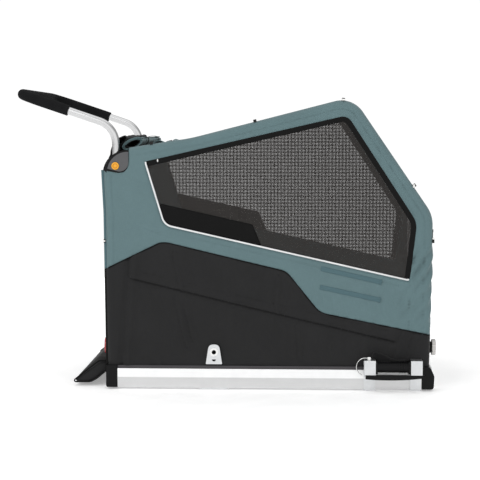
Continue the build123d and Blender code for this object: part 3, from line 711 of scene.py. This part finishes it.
def wrapped(points, height):
    """Takes flat points round the hoop sleeve, and moves them out by a height. Returns right-hand 3-D points."""
    out = np.column_stack([points[:, 0], np.full(len(points), -side_out), points[:, 1]])
    push = np.tile([0.0, -1.0, 0.0], (len(points), 1))
    behind = points[:, 0] < -0.3
    for fold, zone in ((rear_fold, behind & (points[:, 1] < 0.66)), (top_fold, points[:, 0] > -0.3)):
        gap, index, spot = nearest(points, fold)
        i = np.clip(index.astype(int), 0, len(fold) - 2)
        along = fold[i + 1] - fold[i]
        along /= np.linalg.norm(along, axis=1)[:, None]
        normal = np.column_stack([-along[:, 1], along[:, 0]])
        past = ((points - spot) * normal).sum(1)
        over = (past > 0) & (gap < 0.08) & zone
        run = np.clip(past, 0, None)
        away = points - spot
        size = np.linalg.norm(away, axis=1)[:, None]
        away = np.where(size > 1e-6, away / np.maximum(size, 1e-9), normal)
        turn = np.minimum(run / wrap_r, math.pi / 2)
        along_y = -side_out + wrap_r * (1 - np.cos(turn)) + np.maximum(run - wrap_r * math.pi / 2, 0)
        moved = spot + away * (wrap_r * np.sin(turn))[:, None]
        out[over] = np.column_stack([moved[:, 0], along_y, moved[:, 1]])[over]
        push[over] = np.column_stack([away[:, 0] * np.sin(turn), -np.cos(turn), away[:, 1] * np.sin(turn)])[over]
    return out + push * np.asarray(height)[:, None]


def depth_in_folds(relief, points, reach=0.005, slack=0.0006, full=0.0014):
    """From 0 to 1 at each flat point: how far it lies below the relief round it, past a slack that leaves seams out."""
    around = [relief(points + np.array(step) * reach) for step in ((1, 0), (-1, 0), (0, 1), (0, -1))]
    return np.clip((np.mean(around, axis=0) - relief(points) - slack) / full, 0, 1)


def both_sides(name, points, faces, uv, materials, thickness=cloth_thick, inner=0, fold_shade=None):
    """Makes a right-hand sheet and its mirror image, each with a thickness."""
    made = []
    for side, sign in (("right", 1), ("left", -1)):
        placed = points * np.array([1, sign, 1])
        turned = faces if sign == 1 else [tuple(f)[::-1] for f in faces]
        piece = mesh_object(f"{name}_{side}", placed, turned, uv)
        # The fold depth is stored for the painted shade in the folds.
        if fold_shade is not None:
            add_fold_shade(piece, fold_shade)
        if thickness:
            thicken(paint(piece, *materials), thickness, inner)
        paint(piece, *materials)
        made.append(piece)
    return made


def outward(points, faces):
    """Turns triangles so that they face right, away from the cabin."""
    a, b, c = (points[faces[:, k]] for k in range(3))
    up = np.cross(b - a, c - a)
    back = up[:, 1] > 0
    strong = np.abs(up[:, 1]) > 0.2 * np.linalg.norm(up, axis=1)
    flip = back.mean() > 0.5 if not strong.any() else back[strong].mean() > 0.5
    return faces[:, ::-1] if flip else faces


def cut_size(flat, faces):
    """What a flat pattern measures: its width and length, and its area."""
    a, b, c = (flat[faces[:, k]] for k in range(3))
    area = np.abs((b - a)[:, 0] * (c - a)[:, 1] - (b - a)[:, 1] * (c - a)[:, 0]).sum() / 2
    return {"flat": tuple(map(float, np.ptp(flat, axis=0))), "area": float(area)}


def corner_patches():
    """The solid cloth sewn over the net in the window's lower rear corner, on both sides."""
    low_rear, low_front = np.array(window_corners[4]), np.array(window_corners[3])
    along = (low_front - low_rear) / np.linalg.norm(low_front - low_rear)
    up_edge = np.array(window_corners[0]) - low_rear
    up_edge /= np.linalg.norm(up_edge)
    rise = 0.058 / (up_edge @ np.array([-along[1], along[0]]))
    corners = [low_rear, low_rear + along * 0.291, low_rear + up_edge * rise + along * 0.283, low_rear + up_edge * rise]
    flat, faces = fill(rounded(corners, [0.035, 0.002, 0.006, 0.002]), 0.008)
    swell = 0.0006 * fbm(flat, (20, 20), 4.4, 2)
    points = np.column_stack([flat[:, 0], -side_out + 0.0004 - swell, flat[:, 1]])
    return both_sides("window_corner_patch", points, outward(points, faces), flat, (black_deep,), thickness=0.0009)


def side_covers():
    """The teal panel, black skirt, mesh window and the window's corner patches on both sides."""
    rear_z, half_gap = rear_flat[:, 1], 0.0015
    low_rear, high_rear = rear_flat[rear_z < rear_join - half_gap], rear_flat[rear_z > rear_join + half_gap]
    front_at = int(np.argmax((top_flat[:, 0] > 0.55) & (top_flat[:, 1] < front_join - half_gap)))
    high_top, low_top = top_flat[: front_at - 1], top_flat[front_at:]
    edge = np.vstack([[rear_flat[0][0], rear_join], skirt_edge, [top_flat[-1][0] + 0.001, front_join]])
    ledge = [(rear_flat[-1][0], rear_flat[-1][1])]
    upper_loop = np.vstack([high_rear, ledge, notch, [hub_top], high_top, edge[::-1]])
    skirt_loop = np.vstack([edge, low_top, [(top_flat[-1][0], fabric_low), (rear_flat[0][0], fabric_low)], low_rear])
    flat, faces = fill(upper_loop, 0.0058, holes=[window])
    cut_size(flat, faces)
    height = upper_relief(flat)
    points = wrapped(flat, height)
    uppers = both_sides("side_upper_cloth", points, outward(points, faces), flat, (teal, lining), inner=1,
                        fold_shade=depth_in_folds(upper_relief, flat))
    shifted = [pocket_edge + normals(pocket_edge) * k for k in (0.0012, -0.0012, 0.004, -0.004)]
    flat, faces = fill(skirt_loop, 0.0056, extra=shifted)
    keep = np.hypot(flat[:, 0] - eyelet[0], flat[:, 1] - eyelet[1])[faces].min(1) > eyelet_r
    cut_size(flat, faces)
    points = wrapped(flat, skirt_relief(flat))
    skirts = both_sides("side_skirt_cloth", points, outward(points, faces[keep]), flat, (black, lining), inner=1,
                        fold_shade=depth_in_folds(skirt_relief, flat))
    flat, faces = fill(window, 0.012)
    cut_size(flat, faces)
    points = np.column_stack([flat[:, 0], np.full(len(flat), -side_out + 0.0016), flat[:, 1]])
    nets = both_sides("side_net", points, outward(points, faces), flat, (net,), thickness=0)
    patches = corner_patches()
    for side, upper, skirt, mesh, patch in zip(("right", "left"), uppers, skirts, nets, patches):
        join(upper, "base", f"side_upper_{side}")
        join(skirt, "base", f"side_skirt_{side}")
        join(mesh, "base", f"side_mesh_{side}")
        join(patch, "base")


def ribbon(name, path, width, lift, material, thickness=0.0012):
    """A flat tape along a flat path on both sides, with its width across the path and slightly crowned."""
    path = resample(np.asarray(path, float), 0.006)
    across = normals(path)
    rows = []
    for t, rise in ((0.0, 0.0), (0.06, 0.8), (0.3, 1.0), (0.7, 1.0), (0.94, 0.8), (1.0, 0.0)):
        flat = path + across * (width * (t - 0.5))
        y = -side_out - lift - thickness * rise
        rows.append(np.column_stack([flat[:, 0], np.full(len(flat), y), flat[:, 1]]))
    for side, sign in (("right", 1), ("left", -1)):
        piece = grid_mesh(f"{name}_{side}", np.array(rows) * np.array([1, sign, 1]))
        join(paint(piece, material), "base")


def side_trim():
    """Piping, binding, welts, hook tapes and rows of stitches."""
    ring = np.roll(window, -index_at(window, window_corners[0]), axis=0)
    last = index_at(ring, piping_end)
    lower = resample(np.vstack([ring[last:], ring[:1]]), 0.005)
    upper = resample(ring[: last + 1], 0.005)
    edge = offset(rear_stretch, 0.0014)
    edge_y, lap = side_out - 0.013, 0.002
    welts = (
        ("teal", edge[edge[:, 1] > rear_join - lap], teal_dark),
        ("black", edge[edge[:, 1] < rear_join + lap], black_deep),
    )
    for side, sign in (("right", 1), ("left", -1)):

        def at(path, y):
            return np.column_stack([path[:, 0], np.full(len(path), -y * sign), path[:, 1]])

        cord = cord_mesh(f"window_piping_{side}", at(lower, side_out + 0.0014), 0.0026, 10)
        join(paint(cord, piping), "base")
        seam = cord_mesh(f"skirt_binding_{side}", at(skirt_edge[1:-1], side_out + 0.0004), 0.0018, 8)
        join(paint(seam, black_deep), "base")
        for part, path, look in welts:
            welt = cord_mesh(f"rear_welt_{part}_{side}", at(path, edge_y), 0.0040, 10, flat=0.5)
            join(paint(welt, look), "base")
        rows = [at(offset(path, -seam_inset), side_out + 0.0003) for path in (top_stretch[3:-18], rear_stretch[58:-3])]
        rows.append(at(offset(lower, 0.0065), side_out + 0.0006))
        rows.append(at(np.array([(-0.12, 0.4495), (0.525, 0.3027)]), side_out + 0.0002))
        join(paint(stitches(f"panel_stitches_{side}", rows), thread_teal), "base")
        rows = [at(offset(pocket_edge, k), side_out + 0.0042 - 0.075 * k) for k in (0.008, 0.025)]
        join(paint(stitches(f"skirt_stitches_{side}", rows), thread_black), "base")
    ribbon("window_hem", offset(upper, -0.0075), 0.0155, -0.0010, black_deep, thickness=0.0008)
    tab = np.array(window_corners[0]) + np.array([(0.0365, 0.0075), (0.0368, -0.0010)])
    ribbon("window_tab", tab, 0.0036, 0.0002, white_tape, thickness=0.0008)
    for k, path in enumerate(hook_tapes, 1):
        path = np.array(path)
        ribbon(f"hook_tape_{k}", path, 0.0140, 0.0004, teal_dark, thickness=0.0016)
        along = (path[1] - path[0]) / np.linalg.norm(path[1] - path[0])
        tab = np.array([path[1] - along * 0.0035, path[1] + along * 0.0015])
        ribbon(f"hook_tab_{k}", tab, 0.0160, 0.0012, teal_dark, thickness=0.0016)


# ---------------------------------------------------------------- panels between the sides
centre_corners = [rear_foot, rear_bulge, (-0.3635, 0.640), (-0.330, 0.660), (-0.222, 0.716), roof_bend, peak]
centre_corners += [front_knee, front_foot]
centre_radii = [0, 0.5, 0.012, 0.060, 0.040, 0.6, 0.075, 0.095, 0]
centre_line = resample(rounded(centre_corners, centre_radii, closed=False), 0.006)
centre_half, sleeve_half = 0.298, 0.3005
sill = 0.152
back_hinge = ("base", "back_door", (-0.355, 0, 0.150), (-0.355, 0, 0.175))
front_hinge = ("base", "front_door_low", (0.591, 0, 0.150), (0.591, 0, 0.175))
leaf_hinge = ("front_door_low", "front_door_top", (0.5966, 0, 0.470), (0.5966, 0, 0.493))
flap_hinge = ("base", "step_flap", (-0.356, 0, 0.07), (-0.372, 0, 0.07))


def stretch_between(start, end):
    """The part of the centre line from nearest one (x, z) spot to nearest another."""
    return centre_line[index_at(centre_line, start) : index_at(centre_line, end) + 1]


def cross_panel(name, path, half, material, relief, inner=None, thickness=cloth_thick, step=0.012):
    """A sheet across the trailer that follows a path, moved out by relief(share along, y, x, z)."""
    out = normals(path)
    columns = max(3, round(2 * half / step) + 1)
    ys = np.linspace(-half, half, columns)
    run = np.concatenate([[0], np.cumsum(np.linalg.norm(np.diff(path, axis=0), axis=1))])
    rows, uv = [], []
    for i, (x, z) in enumerate(path):
        rise = relief(run[i] / run[-1], ys, x, z)
        rows.append(np.column_stack([x + out[i, 0] * rise, ys, z + out[i, 1] * rise]))
        uv.append(np.column_stack([ys, np.full(columns, run[i])]))
    looks = (material, inner or material)
    piece = paint(grid_mesh(name, rows, uv), *looks)
    if thickness:
        paint(thicken(piece, thickness, 1), *looks)
    return piece, (2 * half, float(run[-1]))


def ripples(x, ys, z, along, across, octaves=3):
    """Smooth noise from -1 to 1 on a row of points across the trailer."""
    return np.array([noise.fractal(Vector((x * along, y * across, z * along)), 1.0, 2.0, octaves) for y in ys])


def fade(ys, rate):
    """From 1 in the middle of a row across the trailer to 0 at its ends."""
    return np.minimum(1, (1 - np.abs(ys / ys[-1])) * rate)


def tension(depth, ripple=0.0):
    """Relief of a panel that is held at both sides: it sags in between, with a little ripple."""

    def relief(share, ys, x, z):
        sag = depth * (1 - (ys / ys[-1]) ** 2)
        return -sag - 0.0004 + ripple * ripples(x, ys, z, 9, 7) * fade(ys, 8)

    return relief


def hump(share, ys, x, z):
    """The roof's sag, with the slack behind its first seam pushed up into a low fold."""
    lift = 0.011 * gauss(x + 0.204, 0.014) * (0.8 + 0.35 * np.sin(ys * 21 + 0.6))
    return tension(0.006, 0.0012)(share, ys, x, z) + lift


def crumple(share, ys, x, z):
    """Relief of slack cloth that is bunched up: folds along it that wander and fade at its ends."""
    return 0.0028 * ripples(x, ys, z, 40, 16) * np.minimum(1, share * 8) * np.minimum(1, (1 - share) * 6)


def held_panel(name, node, body, slot, rests_on, path, half, material, relief, **more):
    """A cross panel along a path, in the place of a CAD node."""
    piece, size = cross_panel(name, path, half, material, relief, **more)
    join(piece, body, node)
    return piece


def edge_tapes(name, path, body, half=centre_half - 0.002, width=0.020):
    """Bound edges along both sides of a door's net."""
    for side, sign in (("right", -1), ("left", 1)):
        rows = []
        for t, rise in ((0, 0.0), (0.1, 1.0), (0.9, 1.0), (1, 0.0)):
            edge = path + normals(path) * (0.0006 + 0.0011 * rise)
            rows.append(np.column_stack([edge[:, 0], np.full(len(edge), sign * (half - width * t)), edge[:, 1]]))
        join(paint(grid_mesh(f"{name}_{side}", rows), black_deep), body)


def centre_panels():
    """From the back to the front: apron, door, header, roof, the front door's two leaves and its apron."""
    seam, door_half, hoops = tension(0.001, 0.0012), centre_half - 0.004, ["hoop_right", "hoop_left"]
    path = stretch_between(rear_foot, (-0.355, sill))
    apron = held_panel("rear_apron_cloth", "rear_apron", "base", "black_fabric", ["hem_strips"],
                       path, centre_half, black, seam)
    path = stretch_between((-0.355, 0.155), (-0.3635, 0.628))
    held_panel("rear_door_net", "rear_door", back_hinge, "mesh_fabric", [apron],
               path, door_half, net, tension(0.002), thickness=0)
    edge_tapes("rear_door_binding", path, back_hinge)
    bunch = [(-0.3630, 0.6360), (-0.3590, 0.6620), (-0.3480, 0.6860), (-0.3400, 0.7120), (-0.3240, 0.7360)]
    bunch += [(-0.3060, 0.7435), (-0.2960, 0.7400), (-0.3080, 0.7270), (-0.3260, 0.7120), (-0.3300, 0.6960)]
    bunch += [(-0.3230, 0.6840), (-0.3000, 0.6860), (-0.2620, 0.6950), (-0.2250, 0.7130)]
    path = resample(rounded(bunch, [0.006] * len(bunch), step=0.002, closed=False), 0.004)
    held_panel("rear_header_cloth", "rear_header", "base", "black_fabric", ["hub_housing_right", "hub_housing_left"],
               path, 0.286, black, crumple, step=0.008)
    path = stretch_between((-0.222, 0.716), (0.340, 0.8495))
    held_panel("roof_cloth", "roof_cover", "base", "teal_fabric", [*hoops, "spreader_bar"],
               path, sleeve_half, teal, hump, inner=lining)
    path = stretch_between((0.594, 0.400), (0.5914, 0.155))
    held_panel("front_door_net", "front_door_lower", front_hinge, "mesh_fabric", ["front_apron_cloth"],
               path, door_half, net, tension(0.002), thickness=0)
    edge_tapes("front_door_binding", path, front_hinge)
    path = centre_line[index_at(centre_line, (0.342, 0.850)) :]
    path = path[path[:, 1] > 0.398]
    held_panel("front_door_cloth", "front_door_upper", leaf_hinge, "teal_fabric", hoops,
               path, sleeve_half, teal, tension(0.006, 0.0014), inner=lining)
    path = centre_line[(centre_line[:, 0] > 0.5) & (centre_line[:, 1] < sill + 0.002)]
    held_panel("front_apron_cloth", "front_apron", "base", "black_fabric", ["hem_strips"],
               path, centre_half, black, seam)


# ---------------------------------------------------------------- rolled, padded and small soft pieces
def rolled_cover():
    """The rear weather cover, rolled up flat and stowed behind the roof."""
    low, high = (np.array(corner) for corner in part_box("rolled_cover"))
    middle = (low + high)[[0, 2]] / 2
    half_long, half_thick, tilt, turns = 0.0330, 0.0146, math.radians(23), 3.6
    # Painted shade: the innermost run of the roll, in metres, is made of the dark lining cloth on both faces to darken
    # the roll's open centre.
    dark_centre_run = 0.12
    angle = np.arange(0, turns * 2 * math.pi, 0.16) + 0.5
    scale = 1 - 0.48 * (angle - angle[0]) / (turns * 2 * math.pi)
    spiral = np.column_stack([half_long * scale ** 0.8 * np.cos(angle), half_thick * scale * np.sin(angle)])
    turn = np.array([[math.cos(tilt), math.sin(tilt)], [-math.sin(tilt), math.cos(tilt)]])
    spiral = resample(spiral @ turn + middle, 0.0032)[::-1]
    half = min(high[1], -low[1]) - 0.001

    def slack(share, ys, x, z):
        return -0.0012 + 0.0010 * ripples(x, ys, z, 30, 11, 2) * fade(ys, 10)

    roll, size = cross_panel("rolled_cover_cloth", spiral, half, lining, slack, thickness=0.0015)
    paint(roll, lining, teal)
    layer = roll.data.uv_layers.active.data
    # Faces within that innermost run get the dark lining as painted shade; the rest are teal.
    for face in roll.data.polygons:
        face.material_index = int(layer[face.loop_start].uv[1] > dark_centre_run)
    join(roll, "base", "rolled_cover")
    for side, sign in (("right", -1), ("left", 1)):
        edge = [np.array([x, sign * (half - 0.001), z]) for x, z in spiral[-46:]]
        bound = cord_mesh(f"rolled_cover_binding_{side}", resample(np.array(edge), 0.004), 0.0014, 6)
        join(paint(bound, teal), "base")
    angle = np.linspace(0, 2 * math.pi, 49)[:-1]
    ring = np.column_stack([(half_long + 0.0022) * np.cos(angle), (half_thick + 0.0022) * np.sin(angle)]) @ turn
    ring = np.vstack([ring, ring[:1]]) + middle
    for side, y in (("right", -0.16), ("left", 0.16)):
        rows = [np.column_stack([ring[:, 0], np.full(len(ring), y + w), ring[:, 1]]) for w in (-0.010, 0.010)]
        strap(f"roll_strap_{side}", rows, "base")


def strap(name, rows, body, node=None):
    """A piece of webbing with its thickness."""
    piece = thicken(paint(grid_mesh(name, rows), webbing), 0.0012)
    join(paint(piece, webbing), body, node)


def plump(piece, voxel, swell, pressure=4.0, frames=20):
    """Blows a closed pad up by cloth simulation, and lets no point move further than swell."""
    bpy.context.view_layer.objects.active = piece
    for other in bpy.context.selected_objects:
        other.select_set(False)
    piece.select_set(True)
    piece.data.remesh_voxel_size = voxel
    bpy.ops.object.voxel_remesh()
    start = np.empty(len(piece.data.vertices) * 3)
    piece.data.vertices.foreach_get("co", start)
    cloth = piece.modifiers.new("cloth", "CLOTH")
    cloth.settings.use_pressure = True
    cloth.settings.uniform_pressure_force = pressure
    cloth.settings.effector_weights.gravity = 0
    cloth.settings.quality = 4
    cloth.collision_settings.use_collision = False
    cloth.point_cache.frame_start, cloth.point_cache.frame_end = 1, frames
    for step in range(1, frames + 1):
        bpy.context.scene.frame_set(step)
    apply_modifiers(piece)
    bpy.context.scene.frame_set(1)
    end = np.empty(len(start))
    piece.data.vertices.foreach_get("co", end)
    moved = (end - start).reshape(-1, 3)
    length = np.linalg.norm(moved, axis=1)[:, None]
    moved *= np.minimum(1, swell / np.maximum(length, 1e-9))
    piece.data.vertices.foreach_set("co", (start.reshape(-1, 3) + moved).ravel())
    finer = piece.modifiers.new("finer", "SUBSURF")
    finer.levels = 1
    apply_modifiers(piece)
    piece.data.polygons.foreach_set("use_smooth", [True] * len(piece.data.polygons))
    return piece


def slab(name, outline, half, crown, columns=41):
    """A closed pad across the trailer with a given outline, crowned in the middle and drawn in at its ends."""
    outline = resample(outline, 0.008, closed=True)
    centre = outline.mean(0)
    points = []
    for y in np.linspace(-half, half, columns):
        end = 1 - min(1, (half - abs(y)) / crown)
        drawn = centre + (outline - centre) * (1 - 0.04 * end, 1 - 0.35 * end ** 2.5)
        points.append(np.column_stack([drawn[:, 0], np.full(len(outline), y), drawn[:, 1]]))
    n = len(outline)
    steps = [(i * n, j, (j + 1) % n) for i in range(columns - 1) for j in range(n)]
    faces = [(row + j, row + k, row + n + k, row + n + j) for row, j, k in steps]
    faces += [tuple(range(n))[::-1], tuple(range((columns - 1) * n, columns * n))]
    return mesh_object(name, np.vstack(points), faces)


def floor_mat():
    """The padded mat on the cabin floor, quilted across."""
    low, high = (np.array(corner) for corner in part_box("floor_mat"))
    low, high = low + (0.004, 0.004, 0.0015), high - (0.004, 0.004, 0.004)
    corners = [(low[0], low[2]), (high[0], low[2]), (high[0], high[2]), (low[0], high[2])]
    mat = slab("floor_mat_pad", rounded(corners, [0.003, 0.003, 0.006, 0.006]), high[1], 0.03)
    plump(mat, 0.006, 0.003)
    co = np.empty(len(mat.data.vertices) * 3)
    mat.data.vertices.foreach_get("co", co)
    co = co.reshape(-1, 3)
    for seam in np.linspace(low[0], high[0], 6)[1:-1]:
        co[:, 2] -= np.where(co[:, 2] > (low[2] + high[2]) / 2, 0.005 * gauss(co[:, 0] - seam, 0.009), 0)
    mat.data.vertices.foreach_set("co", co.ravel())
    join(paint(mat, mat_cloth), "base", "floor_mat")


def rear_flap():
    """The padded flap behind the rear rail, with bound edges."""
    profile = [(-0.3610, 0.0845), (-0.3855, 0.0845), (-0.4640, 0.0105), (-0.4590, 0.0055), (-0.4165, 0.0065)]
    profile += [(-0.3958, 0.0185), (-0.3610, 0.0495)]
    outline = rounded(profile, [0.003, 0.005, 0.004, 0.003, 0.006, 0.006, 0.003])
    flap = slab("rear_flap_pad", outline, 0.285, 0.05)
    plump(flap, 0.005, 0.0035)
    join(paint(flap, black), flap_hinge, "rear_flap")
    ring = resample(outline, 0.005, closed=True)
    ring = (ring - ring.mean(0)) * (0.96, 0.80) + ring.mean(0)
    for side, sign in (("right", -1), ("left", 1)):
        path = np.column_stack([ring[:, 0], np.full(len(ring), sign * 0.2855), ring[:, 1]])
        cord = cord_mesh(f"rear_flap_binding_{side}", path, 0.0022, 8, closed=True)
        join(paint(cord, black_deep), flap_hinge)


def pin_tethers():
    """The webbing loop that goes round each lock pin and down along the receiver."""
    corners = [(0.423, 0.0965), (0.423, 0.118), (0.448, 0.110), (0.484, 0.0935), (0.530, 0.0935)]
    path = resample(rounded(corners, [0, 0.009, 0.040, 0.030, 0], step=0.002, closed=False), 0.003)
    for side, sign in (("right", -1), ("left", 1)):
        rows = []
        for w, rise in ((-0.006, 0.0), (-0.0055, 0.0007), (0.0055, 0.0007), (0.006, 0.0)):
            edge = offset(path, rise)
            rows.append(np.column_stack([edge[:, 0], np.full(len(edge), sign * (0.348 + w)), edge[:, 1]]))
        reach = ("base", f"pin_{side}", (0.470, 0, 0.10), (0.426, 0, 0.10))
        strap(f"pin_tether_{side}", rows, reach, "pin_tethers" if side == "right" else None)


def beads():
    """The pale sleeves on the cover's small stake loops."""
    white = plain_material("white_bead", (0.80, 0.80, 0.78), 0.45, grain=1500, depth=0.2)
    faces = [(0, 1, 2, 3), (7, 6, 5, 4), (0, 4, 5, 1), (1, 5, 6, 2), (2, 6, 7, 3), (3, 7, 4, 0)]
    for name, x, z, long, high in (
        ("peak", 0.335, 0.8478, 0.010, 0.005),
        ("slope", 0.5405, 0.5985, 0.006, 0.010),
        ("front", 0.5985, 0.4455, 0.0062, 0.0045),
        ("rear", -0.3622, 0.4360, 0.0066, 0.0042),
    ):
        corners = [(x + dx * long / 2, z + dz * high / 2) for dx, dz in ((-1, -1), (1, -1), (1, 1), (-1, 1))]
        points = [(a, y, c) for y in (-0.3245, -0.3075) for a, c in corners]
        cube = mesh_object(f"loop_bead_{name}", points, faces, smooth=False)
        bevel = cube.modifiers.new("bevel", "BEVEL")
        bevel.width, bevel.segments = 0.0012, 3
        join(paint(apply_modifiers(cube), white), "base")


studio()
side_covers()
side_trim()
centre_panels()
rolled_cover()
floor_mat()
rear_flap()
pin_tethers()
beads()
